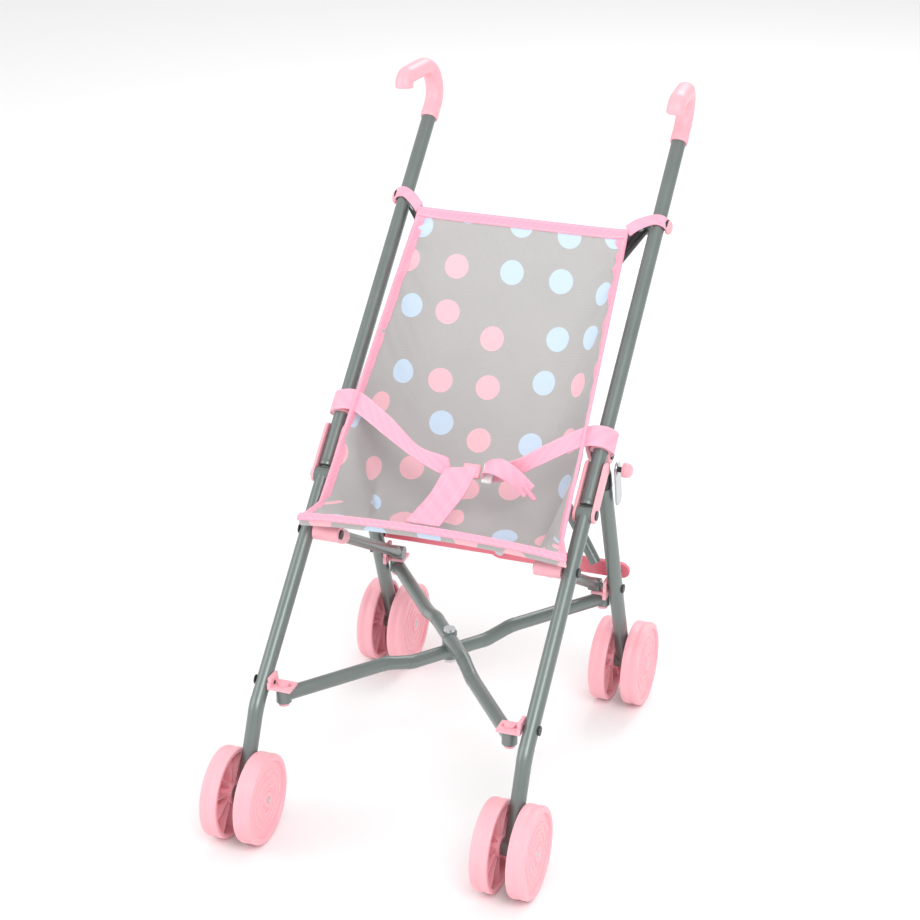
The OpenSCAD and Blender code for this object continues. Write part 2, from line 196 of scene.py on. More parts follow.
# %% Paint and metals
GREY_PAINT = (0.17, 0.205, 0.195)
GREY_PAINT_WORN = (0.22, 0.255, 0.245)
tube_paint = Finish("tube_paint", GREY_PAINT, 0.34, 0.45, Coat_Weight=0.35, Coat_Roughness=0.18)
spot = tube_paint.place()
patches = tube_paint.noise(spot, 38.0)
tube_paint.set("Base Color", tube_paint.mix(patches * 0.8, GREY_PAINT, GREY_PAINT_WORN))
tube_paint.set("Roughness", patches * 0.16 + 0.27)
tube_paint.bump(tube_paint.noise(spot, 1500.0, 1.0), 0.12, 0.0002)


def plain_metal(name, colour, roughness, metallic=1.0):
    """Rolled or plated metal with fine scratches."""
    metal = Finish(name, colour, roughness, metallic)
    where = metal.place()
    scratches = metal.noise(where, 900.0, 4.0, 0.7)
    metal.set("Roughness", scratches * 0.25 + (roughness - 0.1))
    metal.bump(scratches, 0.15, 0.0001)
    return metal


zinc = plain_metal("zinc_plate", (0.62, 0.64, 0.66), 0.3)
dark_steel = plain_metal("dark_screw", (0.06, 0.06, 0.065), 0.4, 0.8)
print("grey paint, zinc plate and dark steel mixed")

# %% [markdown]
# ## Moulded plastic
# The pink pieces are polypropylene: slightly waxy, so a little light scatters inside, with a soft
# sheen and a faint flow pattern in the colour.


# %% Plastics
def moulded(name, colour, paler, roughness=0.34, grain=420.0):
    plastic = Finish(name, colour, roughness, Subsurface_Weight=0.12, Subsurface_Scale=0.004)
    where = plastic.place()
    flow = plastic.noise(where, 55.0, 4.0)
    plastic.set("Base Color", plastic.mix(flow * 0.7, colour, paler))
    plastic.set("Roughness", flow * 0.18 + (roughness - 0.09))
    plastic.bump(plastic.noise(where, grain, 2.0), 0.12, 0.0003)
    return plastic


pink_plastic = moulded("pink_plastic", (0.95, 0.42, 0.49), (0.97, 0.53, 0.59))
wheel_plastic = moulded("wheel_plastic", (0.96, 0.43, 0.49), (0.98, 0.53, 0.585), 0.4)
deep_pink = moulded("deep_pink_plastic", (0.92, 0.19, 0.26), (0.95, 0.28, 0.345))
white_plastic = moulded("white_plastic", (0.8, 0.78, 0.78), (0.86, 0.85, 0.85))
# the near-black material is painted shade, worn by the sleeves on the cross arms and rear legs
painted_shade_black = moulded("painted_shade_black", (0.012, 0.012, 0.013), (0.03, 0.03, 0.032), 0.3)
print("five moulded plastics mixed")

# %% [markdown]
# ## Cloth with dots
# The seat is a plain-woven polyester. Every piece of cloth carries its own UV map in metres, so
# threads and dots keep their real size and follow the cloth round its folds. The dots lie on a
# loose lattice: a Voronoi texture gives one centre per cell and a random number that picks
# between pink and blue.

# %% Seat cloth
DOT_SPACING = 44 * MM
DOT_RADIUS = 10.5 * MM
THREADS_PER_METRE = 2400.0
CLOTH_GREY = (0.46, 0.455, 0.445)
CLOTH_GREY_PALER = (0.53, 0.525, 0.515)
PINK_SHARE = 0.5
WAVE_UNIT = 20
DOT_PINK = (0.95, 0.55, 0.61)
DOT_BLUE = (0.60, 0.74, 0.89)


def weave(finish, uv, threads):
    """Height of a plain weave: two sets of threads at right angles."""
    warp, weft = (finish.node("ShaderNodeTexWave", {"bands_direction": way}, out="Fac", Vector=uv,
                              Scale=threads / WAVE_UNIT) for way in "XY")
    return warp * 0.5 + weft * 0.5


dotted = Finish("dotted_cloth", CLOTH_GREY, 0.72, Sheen_Weight=0.25, Sheen_Roughness=0.4)
uv = dotted.place("UV")
cells = dict(settings={"voronoi_dimensions": "2D"}, Vector=uv, Scale=1 / DOT_SPACING,
             Randomness=0.42)
to_centre = dotted.node("ShaderNodeTexVoronoi", out="Distance", **cells)
cell_colour = dotted.node("ShaderNodeTexVoronoi", out="Color", **cells)
lot = dotted.node("ShaderNodeSeparateColor", out="Red", Color=cell_colour)
inside_dot = to_centre < DOT_RADIUS / DOT_SPACING
threads = weave(dotted, uv, THREADS_PER_METRE)
shade = dotted.noise(uv, 26.0, 4.0)
grey = dotted.mix(shade * 0.6, CLOTH_GREY, CLOTH_GREY_PALER)
dot_colour = dotted.mix(lot > PINK_SHARE, DOT_PINK, DOT_BLUE)
dotted.set("Base Color", dotted.mix(inside_dot, grey, dot_colour))
dotted.set("Roughness", threads * 0.15 + 0.62)
dotted.bump(threads + shade * 0.6, 0.25, 0.0003)
print("dots", round(2 * DOT_RADIUS / MM), "mm wide,", round(DOT_SPACING / MM), "mm apart")

# %% [markdown]
# ## Webbing and binding
# Webbing is a thick twill with ribs across it and two rows of stitches near its edges. The same
# recipe with finer ribs serves for the satin tape that binds the seat's edges.

# %% Tapes
WEB_PINK = (0.92, 0.40, 0.53)
STITCH_PINK = (0.97, 0.66, 0.74)
STITCH_INSET = 1.6 * MM
STITCH_HALF_W = 0.35 * MM
STITCHES_PER_METRE = 400.0
STRAP_W = 19 * MM
BIND_W = 9 * MM


def tape(name, colour, paler, ribs_per_metre, half_w):
    cloth = Finish(name, colour, 0.6, Sheen_Weight=0.3, Sheen_Roughness=0.35)
    where = cloth.place("UV")
    ribs = cloth.node("ShaderNodeTexWave", {"bands_direction": "DIAGONAL"}, out="Fac",
                      Vector=where, Scale=ribs_per_metre / WAVE_UNIT, Distortion=0.4)
    fuzz = cloth.noise(where, 700.0, 3.0)
    across = cloth.node("ShaderNodeSeparateXYZ", out="Y", Vector=where).math("ABSOLUTE")
    along = cloth.node("ShaderNodeSeparateXYZ", out="X", Vector=where)
    row = (across - (half_w - STITCH_INSET)).math("ABSOLUTE") < STITCH_HALF_W
    dash = (along * STITCHES_PER_METRE).math("FRACT") < 0.62
    stitch = row * dash
    body = cloth.mix(ribs * 0.35 + fuzz * 0.35, colour, paler)
    cloth.set("Base Color", cloth.mix(stitch * 0.55, body, STITCH_PINK))
    cloth.set("Roughness", ribs * 0.15 + 0.5)
    cloth.bump(ribs * 0.5 + fuzz * 0.3 - stitch * 0.6, 0.35, 0.0004)
    return cloth


webbing = tape("webbing", WEB_PINK, (0.95, 0.50, 0.62), 900.0, STRAP_W / 2)
binding = tape("binding", (0.93, 0.37, 0.50), (0.95, 0.47, 0.59), 1900.0, BIND_W / 2)
print("webbing", round(STRAP_W / MM), "mm, binding", round(BIND_W / MM), "mm")

# %% [markdown]
# ## Giving the frame its finishes
# A CAD piece keeps its shape, so only the material in its slot changes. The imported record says
# which slot each piece uses.

# %% Finishes for the CAD pieces
SLOT_FINISH = {"tube": tube_paint, "pink_plastic": pink_plastic, "deep_pink_plastic": deep_pink,
               "zinc": zinc, "dark_screw": dark_steel, "wheel_plastic": wheel_plastic,
               "cloth": dotted, "webbing": webbing}
for part in frame["record"]["subparts"]:
    piece = frame["nodes"][part["node"]]
    piece.data.materials.clear()
    piece.data.materials.append(SLOT_FINISH[part["material_slot"]].material)

# %% [markdown]
# ## From a bmesh to a piece of the stroller
# Every new piece ends the same way: normals outwards, a finish, smooth faces, a body to ride on
# and, where it stands for a plain CAD solid, that solid hidden.


# %% Finishing a piece
def finish_piece(bm, name, finish, body, replaces=(), normals=True, smooth=35):
    bmesh.ops.remove_doubles(bm, verts=bm.verts, dist=1e-6)
    if normals:
        bmesh.ops.recalc_face_normals(bm, faces=bm.faces)
    mesh = bpy.data.meshes.new(name)
    bm.to_mesh(mesh)
    bm.free()
    piece = bpy.data.objects.new(name, mesh)
    bpy.context.collection.objects.link(piece)
    mesh.materials.append(finish.material)
    mesh.shade_smooth()
    if smooth:
        mesh.set_sharp_from_angle(angle=math.radians(smooth))
    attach(piece, body)
    if replaces:
        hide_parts(*replaces)
    return piece


def add_modifier(piece, kind, **values):
    modifier = piece.modifiers.new(kind.title(), kind)
    for key, value in values.items():
        setattr(modifier, key, value)
    return modifier


def subdivide(piece, levels=1):
    add_modifier(piece, "SUBSURF", levels=levels, render_levels=levels)


def mirror_x(bm):
    """The same shape for the other side of the stroller."""
    bmesh.ops.scale(bm, verts=bm.verts, vec=(-1, 1, 1))


# %% [markdown]
# ## Hooked grips
# Each grip is one moulding: a socket over the tube, then a flat-sided band that turns back over
# itself. A rounded square is extruded along the straight stretches and spun round the bends.

# %% Grips
GRIP_R = 7.4 * MM
SOCKET = 13 * MM
SHANK = 1 * MM
HOOK_R = 22 * MM
HOOK_TOP = 28 * MM
TIP_R = 9 * MM
TIP_TURN = math.radians(80)
TIP_LEN = 1.5 * MM
TIP_ROUND = 1.2 * MM
TIP_SHARE = 0.86
TOE_OUT = math.radians(7)
SQUARING = 0.06
BORE_SHARE = 0.82
COLLAR = ((1.2 * MM, 1.05), (SOCKET * 0.6, 1.0), (2 * MM, 0.95), (2.5 * MM, 1.04))


def extrude_ring(bm, ring, shift, size=1.0, centre=None):
    """Extrude an open loop of edges along shift, and scale its new end about centre."""
    made = bmesh.ops.extrude_edge_only(bm, edges=ring)["geom"]
    verts = [g for g in made if isinstance(g, bmesh.types.BMVert)]
    bmesh.ops.translate(bm, verts=verts, vec=shift)
    if centre is not None:
        bmesh.ops.scale(bm, verts=verts, vec=(size, size, size),
                        space=Matrix.Translation(-Vector(centre)))
    return [g for g in made if isinstance(g, bmesh.types.BMEdge)]


def spin_ring(bm, ring, centre, angle, steps):
    made = bmesh.ops.spin(bm, geom=ring, cent=centre, axis=(1, 0, 0), angle=angle, steps=steps)
    return [g for g in made["geom_last"] if isinstance(g, bmesh.types.BMEdge)]


def ring_middle(ring):
    """The corners of a loop of edges, and the point in the middle of them."""
    corners = list(dict.fromkeys(vert for edge in ring for vert in edge.verts))
    return corners, sum((vert.co for vert in corners), Vector()) / len(corners)


def grip(side, sign):
    bm = bmesh.new()
    start = on_handle(HANDLE_LEN - SOCKET)
    turn = Matrix.Rotation(HANDLE_SLOPE - math.pi / 2, 4, "X")
    bmesh.ops.create_circle(bm, segments=24, radius=GRIP_R, matrix=Matrix.Translation(start) @ turn)
    # square the circle a little: flat cheeks with round corners
    for vert in bm.verts:
        out = vert.co - start
        fall = out.dot(BELOW_HANDLE)
        vert.co += SQUARING * (out * (1 - abs(abs(out.x) - abs(fall)) / GRIP_R))
    ring = list(bm.edges)
    collar = bmesh.ops.extrude_edge_only(bm, edges=ring)["geom"]
    inner = [g for g in collar if isinstance(g, bmesh.types.BMVert)]
    bmesh.ops.scale(bm, verts=inner, vec=[BORE_SHARE] * 3, space=Matrix.Translation(-start))
    bmesh.ops.contextual_create(bm, geom=[g for g in collar if isinstance(g, bmesh.types.BMEdge)])
    at = start.copy()
    for length, size in COLLAR:
        at = at + length * UP_HANDLE
        ring = extrude_ring(bm, ring, length * UP_HANDLE, size, at)
    at = on_handle(HANDLE_LEN + SHANK)
    last, centre = ring_middle(ring)
    bmesh.ops.translate(bm, verts=last, vec=at - centre)
    centre = at - HOOK_R * BELOW_HANDLE
    ring = spin_ring(bm, ring, centre, math.pi - HANDLE_SLOPE, 14)
    for half in range(2):
        ring = extrude_ring(bm, ring, (0, -HOOK_TOP / 2, 0))
    centre = ring_middle(ring)[1] - Vector((0, 0, TIP_R))
    ring = spin_ring(bm, ring, centre, TIP_TURN, 9)
    heading = Vector((0, -math.cos(TIP_TURN), -math.sin(TIP_TURN)))
    at = ring_middle(ring)[1] + heading * TIP_LEN
    ring = extrude_ring(bm, ring, heading * TIP_LEN)
    ring = extrude_ring(bm, ring, heading * TIP_ROUND, TIP_SHARE, at)
    bmesh.ops.contextual_create(bm, geom=ring)
    bmesh.ops.rotate(bm, verts=bm.verts, cent=start, matrix=Matrix.Rotation(TOE_OUT, 3, UP_HANDLE))
    if sign < 0:
        mirror_x(bm)
    piece = finish_piece(bm, side + "_hooked_grip", pink_plastic, side + "_handle",
                         [side + "_grip"])
    print(piece.name, len(piece.data.polygons), "faces")


for side, sign in SIDES:
    grip(side, sign)

# %% [markdown]
# ## Wheels
# A toy wheel is a shallow cup. The outer face is a shell with raised rings round a hub, and the
# side towards the leg is open and stiffened with ribs. The shell is one outline spun round the
# axle, and the ribs are thin blocks set round the hub.

# %% Wheels
RINGS = (0.30, 0.47, 0.64)
RIB_COUNT = 10
RIB_THICK = 1.4 * MM
RIB_START = 8.5 * MM
RIB_RIM_GAP = 4.4 * MM
RIB_MARGIN = 8 * MM
RIB_SETBACK = 1.6 * MM
HOLE_R = 2.6 * MM
HUB_R = 6.5 * MM
WEB_DEPTH = 1.8 * MM
RING_DEPTH = 1.0 * MM
GROOVE_DEPTH = 0.45 * MM


def outer_face(radius, face):
    """The outside of the wheel: the hub, the raised rings, then the rim."""
    outline = [(face - RING_DEPTH, HOLE_R), (face, HOLE_R + 0.6 * MM), (face, HUB_R),
               (face - 1.6 * MM, HUB_R + 1.0 * MM)]
    for share in RINGS:
        r = share * radius
        outline += [(face - WEB_DEPTH, r - 1.5 * MM), (face - RING_DEPTH, r - 0.9 * MM),
                    (face - RING_DEPTH, r + 0.6 * MM), (face - WEB_DEPTH, r + 1.2 * MM)]
    return outline + [(face - 2.0 * MM, radius - 6.2 * MM), (face - 0.2 * MM, radius - 5.4 * MM),
                      (face, radius - 4.6 * MM), (face, radius - 2.2 * MM),
                      (face - 0.7 * MM, radius - 0.7 * MM), (face - 2.2 * MM, radius)]


def tread(radius, face):
    """The running surface with its middle groove, up to the open side's edge."""
    groove = radius - GROOVE_DEPTH
    return [(2.0 * MM, radius), (1.2 * MM, groove), (-1.2 * MM, groove), (-2.0 * MM, radius),
            (-face + 1.4 * MM, radius), (-face + 0.3 * MM, radius - 0.5 * MM),
            (-face, radius - 1.6 * MM)]


def cup(radius, face):
    """The hollow on the leg's side, from the rim's edge back to the hub."""
    return [(-face, radius - 3.4 * MM), (-face + 0.8 * MM, radius - 4.2 * MM),
            (face - 4.6 * MM, radius - 4.6 * MM), (face - 5.2 * MM, radius - 5.4 * MM),
            (face - 5.2 * MM, 10.0 * MM), (face - 4.6 * MM, 9.0 * MM),
            (-face + 0.8 * MM, 8.8 * MM), (-face, 8.2 * MM), (-face, HOLE_R + 0.6 * MM),
            (-face + 0.8 * MM, HOLE_R)]


def wheel(node, body, sign):
    low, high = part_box(node)
    centre = (low + high) / 2
    radius = (high.z - low.z) / 2
    half_w = (high.x - low.x) / 2
    bm = bmesh.new()
    outline = outer_face(radius, half_w) + tread(radius, half_w) + cup(radius, half_w)
    loop = [bm.verts.new((x, 0, r)) for x, r in outline]
    edges = [bm.edges.new(pair) for pair in zip(loop, loop[1:] + loop[:1])]
    bmesh.ops.spin(bm, geom=edges, cent=(0, 0, 0), axis=(1, 0, 0), angle=2 * math.pi, steps=72,
                   use_merge=True)
    bmesh.ops.remove_doubles(bm, verts=bm.verts, dist=1e-6)
    bmesh.ops.recalc_face_normals(bm, faces=bm.faces)
    rib_end = radius - RIB_RIM_GAP
    rib_size = (2 * half_w - RIB_MARGIN, RIB_THICK, rib_end - RIB_START)
    for index in range(RIB_COUNT):
        rib = bmesh.ops.create_cube(bm, size=1.0)["verts"]
        bmesh.ops.scale(bm, verts=rib, vec=rib_size)
        bmesh.ops.translate(bm, verts=rib, vec=(-RIB_SETBACK, 0, (RIB_START + rib_end) / 2))
        bmesh.ops.rotate(bm, verts=rib, cent=(0, 0, 0),
                         matrix=Matrix.Rotation(index * 2 * math.pi / RIB_COUNT, 3, "X"))
    if sign < 0:
        mirror_x(bm)
        bmesh.ops.reverse_faces(bm, faces=bm.faces)
    bmesh.ops.translate(bm, verts=bm.verts, vec=centre)
    return finish_piece(bm, node + "_moulding", wheel_plastic, body, [node],
                        normals=False, smooth=30)


for side, sign in SIDES:
    for end in ("front", "rear"):
        for place, face in (("outer", 1), ("inner", -1)):
            made = wheel(f"{side}_{end}_{place}_wheel", f"{side}_{end}_wheels", face * sign)
print("eight wheels of", len(made.data.polygons), "faces each")

# %% [markdown]
# ## The sling seat
# The seat is one cut of cloth. Its bound side edges run straight from the top corners down beside
# the tubes, while the middle drops behind them to a crease and comes forward again as the seat
# base, so two wings stand up on the sides. A grid is laid on that cut, its bound edges are
# pinned, and a cloth simulation lets the rest hang and wrinkle.

# %% The cut of the seat
TOP = Vector((95 * MM, 131 * MM, 435 * MM))
CREASE = Vector((84 * MM, -5 * MM, 216 * MM))
FRONT = Vector((117 * MM, -99 * MM, 233 * MM))
WING = Vector((106.5 * MM, -76 * MM, 239 * MM))
TOP_FLAT_X = 88 * MM
FRONT_FLAT_X = 90 * MM
HEM = 9 * MM
HEM_BACK = 3 * MM
FRONT_LIFT = 6 * MM
FLAT_SHARE = 0.72
ACROSS = 60
BACK_ROWS, BASE_ROWS, HEM_ROWS = 44, 18, 4


ROWS = BACK_ROWS + BASE_ROWS + HEM_ROWS
FRONT_ROW = BACK_ROWS + BASE_ROWS


def seat_point(u, row):
    """A point of the cut. u runs from -1 to 1 across, row from 0 at the top to the hem."""
    front_flat = Vector((FRONT_FLAT_X, FRONT.y, FRONT.z))
    if row <= BACK_ROWS:
        t = row / BACK_ROWS
        flat = Vector((TOP_FLAT_X, TOP.y, TOP.z)).lerp(CREASE, t)
        edge = TOP.lerp(WING, t)
    elif row <= FRONT_ROW:
        t = (row - BACK_ROWS) / BASE_ROWS
        flat = CREASE.lerp(front_flat, t)
        edge = WING.lerp(FRONT, t)
    else:
        t = (row - FRONT_ROW) / HEM_ROWS
        drop = Vector((0, HEM_BACK * t, -HEM * t))
        flat = front_flat + drop
        edge = FRONT + drop
    share = abs(u)
    forward = max(0.0, min(1.0, (row - BACK_ROWS) / BASE_ROWS))
    lift = forward * FRONT_LIFT * (1 - share * share)
    if share <= FLAT_SHARE:
        point = Vector((flat.x * share / FLAT_SHARE, flat.y, flat.z))
    else:
        point = flat.lerp(edge, (share - FLAT_SHARE) / (1 - FLAT_SHARE))
    return Vector((math.copysign(point.x, u), point.y, point.z + lift))


bm = bmesh.new()
bmesh.ops.create_grid(bm, x_segments=ACROSS, y_segments=ROWS, size=1.0)
by_cell = {}
for vert in bm.verts:
    by_cell[round((vert.co.x + 1) / 2 * ACROSS), round((1 - vert.co.y) / 2 * ROWS)] = vert
for (column, row), vert in by_cell.items():
    vert.co = seat_point(column / ACROSS * 2 - 1, row)
index_of = {cell: vert.index for cell, vert in by_cell.items()}
print("cut laid out on", len(index_of), "points")

# %% [markdown]
# The UV map is the flat cut itself, in metres. It is measured along the threads: across from the
# middle line of each row, and down the middle of the seat.

# %% Measuring the flat cut
across_at = {}
for row in range(ROWS + 1):
    spans = [0]
    for column in range(ACROSS):
        step = by_cell[column + 1, row].co - by_cell[column, row].co
        spans.append(spans[-1] + step.length)
    for column, run in enumerate(spans):
        across_at[column, row] = run - spans[-1] / 2
along_at = [0]
for row in range(ROWS):
    step = by_cell[ACROSS // 2, row + 1].co - by_cell[ACROSS // 2, row].co
    along_at.append(along_at[-1] + step.length)
uv_layer = bm.loops.layers.uv.new("UVMap")
cell_of = {vert: cell for cell, vert in by_cell.items()}
for face in bm.faces:
    for corner in face.loops:
        cell = cell_of[corner.vert]
        corner[uv_layer].uv = (across_at[cell] + 0.5, 0.5 - along_at[cell[1]])
seat_area = sum(face.calc_area() for face in bm.faces)

# %% [markdown]
# ## Letting the cloth hang
# The side edges, the top edge and the front fold are sewn to stiff tapes, so they are pinned. The
# cloth between them is a few per cent longer than the straight way, which gives the soft folds.

# %% Cloth simulation
SLACK = 0.03
HANG_FRAMES = 26
CLOTH_SETTINGS = {"quality": 8, "mass": 0.2, "tension_stiffness": 25, "compression_stiffness": 25,
                  "shear_stiffness": 12, "bending_stiffness": 0.35, "shrink_min": -SLACK}
mesh = bpy.data.meshes.new("sling_seat")
bm.to_mesh(mesh)
bm.free()
seat = bpy.data.objects.new("sling_seat", mesh)
bpy.context.collection.objects.link(seat)
pins = seat.vertex_groups.new(name="pins")
pins.add([index for (column, row), index in index_of.items()
          if column in (0, ACROSS) or row == 0 or row >= FRONT_ROW], 1.0, "REPLACE")


def hang(piece, group, frames):
    """Let a sheet hang from its pinned points, and keep the shape it ends in."""
    cloth = piece.modifiers.new("Cloth", "CLOTH")
    for key, value in CLOTH_SETTINGS.items():
        setattr(cloth.settings, key, value)
    cloth.settings.vertex_group_mass = group
    cloth.point_cache.frame_start = 1
    cloth.point_cache.frame_end = frames
    for step in range(1, frames + 1):
        bpy.context.scene.frame_set(step)
    evaluated = piece.evaluated_get(bpy.context.evaluated_depsgraph_get())
    shape = [vert.co.copy() for vert in evaluated.data.vertices]
    piece.modifiers.remove(cloth)
    for vert, co in zip(piece.data.vertices, shape):
        vert.co = co
    bpy.context.scene.frame_set(1)


hang(seat, "pins", HANG_FRAMES)
seat.vertex_groups.clear()
print("seat hangs to", round(min(vert.co.z for vert in seat.data.vertices), 4))

# %% [markdown]
# The sheet gets its cloth and a thickness, and stands for the four plain panels of the frame.

# %% Finishing the seat
CLOTH_THICK = 0.9 * MM
seat.data.materials.append(dotted.material)
seat.data.shade_smooth()
add_modifier(seat, "SOLIDIFY", thickness=CLOTH_THICK, offset=0)
subdivide(seat)
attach(seat, SEAT_BODY)
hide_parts("seat_back", "seat_base", "right_seat_side", "left_seat_side")
print("seat stands for four panels")

# %% [markdown]
# ## Ribbons
# Binding, straps and loops are all the same thing: a flat tape that follows a route. A helper lays
# a narrow grid along smooth curves through a few chosen points, with a direction across the tape
# at each one, and gives it thickness.


# %% Ribbon helper
TAPE_COLUMNS = 6


def smooth_route(points, per_span=8):
    """Points along a Catmull-Rom curve through the given ones."""
    route = []
    ends = [points[0] * 2 - points[1]] + list(points) + [points[-1] * 2 - points[-2]]
    for i in range(1, len(ends) - 2):
        p0, p1, p2, p3 = ends[i - 1:i + 3]
        for k in range(per_span):
            t = k / per_span
            route.append(0.5 * ((2 * p1) + (p2 - p0) * t + (2 * p0 - 5 * p1 + 4 * p2 - p3) * t * t
                                + (3 * p1 - p0 - 3 * p2 + p3) * t ** 3))
    route.append(points[-1].copy())
    return route


def ribbon(name, centres, across, width, thickness, finish, body, replaces=(), crown=0.0):
    """A tape with its middle on centres and its width along the across directions."""
    count = len(centres)
    bm = bmesh.new()
    bmesh.ops.create_grid(bm, x_segments=count - 1, y_segments=TAPE_COLUMNS, size=1.0)
    layer = bm.loops.layers.uv.new("UVMap")
    run = [0.0]
    for a, b in zip(centres, centres[1:]):
        run.append(run[-1] + (b - a).length)
    place = {}
    for vert in bm.verts:
        i = round((vert.co.x + 1) / 2 * (count - 1))
        j = round((vert.co.y + 1) / 2 * TAPE_COLUMNS)
        place[vert] = (i, j)
    for vert, (i, j) in place.items():
        side = across[i].normalized()
        ahead = centres[min(i + 1, count - 1)] - centres[max(i - 1, 0)]
        up = side.cross(ahead).normalized()
        share = j / TAPE_COLUMNS * 2 - 1
        vert.co = centres[i] + side * (share * width / 2) + up * crown * (1 - share * share)
    for face in bm.faces:
        for corner in face.loops:
            i, j = place[corner.vert]
            corner[layer].uv = (run[i], (j / TAPE_COLUMNS - 0.5) * width)
    piece = finish_piece(bm, name, finish, body, replaces, smooth=0)
    add_modifier(piece, "SOLIDIFY", thickness=thickness, offset=0)
    bevel = add_modifier(piece, "BEVEL", width=thickness * 0.3, segments=2)
    bevel.limit_method = "ANGLE"
    piece["tape_length"] = run[-1]
    return piece


def squash_with_frame(piece):
    """Give the piece a mesh of its own."""
    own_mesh(piece)


# %% [markdown]
# ## Binding round the seat
# Pink tape is folded over the cut edges. It follows the cloth's own border, so it is laid on the
# border of the finished sheet, leaning inwards along the cloth.

# %% Seat binding
BIND_THICK = 2.8 * MM
BIND_INSET = 0.42
FRONT_TAPE_W = 7 * MM
FRONT_TAPE_THICK = 2.6 * MM
FRONT_TAPE_CROWN = 0.6 * MM


def cloth_at(column, row):
    return seat.data.vertices[index_of[column, row]].co.copy()


def bind(name, cells, inner_cells):
    border = [cloth_at(*cell) for cell in cells]
    inside = [cloth_at(*cell) for cell in inner_cells]
    across = [(b - a).normalized() for a, b in zip(border, inside)]
    centres = [a + d * BIND_W * BIND_INSET for a, d in zip(border, across)]
    piece = ribbon(name, centres, across, BIND_W, BIND_THICK, binding, SEAT_BODY)
    squash_with_frame(piece)
    print(name, "length", round(piece["tape_length"], 3))


bind("top_binding", [(c, 0) for c in range(ACROSS + 1)], [(c, 2) for c in range(ACROSS + 1)])
for name, column, step in (("left_edge_binding", 0, 3), ("right_edge_binding", ACROSS, -3)):
    span = range(FRONT_ROW + 1)
    bind(name, [(column, r) for r in span], [(column + step, r) for r in span])
fold = [cloth_at(c, FRONT_ROW) + Vector((0, -0.4, 1.2)) * MM for c in range(ACROSS + 1)]
lean = Vector((0, 0.75, 0.35))
front_tape = ribbon("front_binding", fold, [lean] * len(fold), FRONT_TAPE_W, FRONT_TAPE_THICK,
                    binding, SEAT_BODY, crown=FRONT_TAPE_CROWN)
squash_with_frame(front_tape)
squash_with_frame(seat)

# %% [markdown]
# ## Straps
# The waist strap comes off the belt clamps on each side and meets at a buckle over the lap, where
# the wide crotch strap comes up from the front edge. The straps are slack, so they twist a little.

# %% Straps
BUCKLE = Vector((8, -32, 266)) * MM
CLAMP_S = 66 * MM
CORNER_S = 272 * MM
CROTCH_W = 30 * MM
LOOSE_END_W = 15 * MM
CORNER_W = 10 * MM
STRAP_THICK = 1.5 * MM


def strap(name, points, across, width=STRAP_W, replaces=()):
    piece = ribbon(name, smooth_route(points), smooth_route(across), width, STRAP_THICK, webbing,
                   SEAT_BODY, replaces)
    squash_with_frame(piece)
    print(name, "length", round(piece["tape_length"], 3))


def round_the_tube(sign):
    """The start of a waist strap, over the outside of the tube to its front."""
    return [on_handle(CLAMP_S, 8 * MM, sign * (HALF_W + 7 * MM)),
            on_handle(CLAMP_S, 0, sign * (HALF_W + 10.4 * MM)),
            on_handle(CLAMP_S, -10 * MM, sign * (HALF_W + 2 * MM))]


right_lap = [on_handle(CLAMP_S - 3 * MM, -10 * MM, 101 * MM), Vector((72, -24, 287)) * MM,
             Vector((48, -32, 273)) * MM, Vector((27, -33, 267)) * MM]
strap("right_waist_webbing", round_the_tube(1) + right_lap,
      [UP_HANDLE] * 4 + [Vector((0.2, 0.4, 0.9)), Vector((0.25, 0.1, 1)), Vector((0.1, -0.3, 1))],
      replaces=["right_waist_strap"])
left_lap = [on_handle(CLAMP_S, -11 * MM, -101 * MM), Vector((-66, -20, 290)) * MM,
            Vector((-34, -29, 273)) * MM, Vector((-6, -32, 266)) * MM]
strap("left_waist_webbing", round_the_tube(-1) + left_lap,
      [UP_HANDLE] * 4 + [Vector((-0.1, 0.5, 0.9)), Vector((-0.5, 0.6, 0.6)),
                         Vector((-0.3, 0.2, 0.9))], replaces=["left_waist_strap"])
strap("crotch_webbing", [Vector((-9, -92, 241)) * MM, Vector((-7, -72, 244)) * MM,
                         Vector((-2, -50, 252)) * MM, Vector((5, -34, 270)) * MM],
      [Vector((1, 0, 0)), Vector((1, 0.05, 0.05)), Vector((1, 0.1, 0.1)), Vector((1, 0.1, 0.15))],
      width=CROTCH_W, replaces=["crotch_strap"])
strap("loose_end", [Vector((24, -34, 268)) * MM, Vector((30, -40, 277)) * MM,
                    Vector((42, -44, 279)) * MM, Vector((56, -45, 272)) * MM,
                    Vector((68, -46, 262)) * MM],
      [Vector((0, 0.5, 1)), Vector((0.4, 0.7, 0.6)), Vector((0.3, 0.5, 0.8)),
       Vector((0.5, 0.1, 0.8)), Vector((0.6, 0, 0.8))],
      width=LOOSE_END_W)

# %% [markdown]
# Each top corner of the seat hangs on its tube by a narrow tape that ends under a button.

# %% Corner tapes
for side, sign in SIDES:
    points = [Vector((sign * TOP.x, TOP.y, TOP.z)), Vector((sign * 103, 137, 440)) * MM,
              on_handle(CORNER_S, -8.4 * MM, sign * (HALF_W - 1 * MM)),
              on_handle(CORNER_S, -4 * MM, sign * (HALF_W + 7.4 * MM)),
              on_handle(CORNER_S - 1 * MM, 4 * MM, sign * (HALF_W + 7.6 * MM))]
    sides = [Vector((-sign * 0.5, 0.3, 0.8)), Vector((-sign * 0.3, 0.5, 0.8))] + [UP_HANDLE] * 3
    strap(side + "_corner_webbing", points, sides, CORNER_W, [side + "_corner_strap"])

# %% [markdown]
# ## Buckle, slider and buttons
# Small mouldings start as a cube that is scaled, then bevelled on every edge, which already looks
# like a moulded part because its corners are round.


# %% Small mouldings
BUTTON_R = 6.2 * MM
BUTTON_DEPTH = 4 * MM


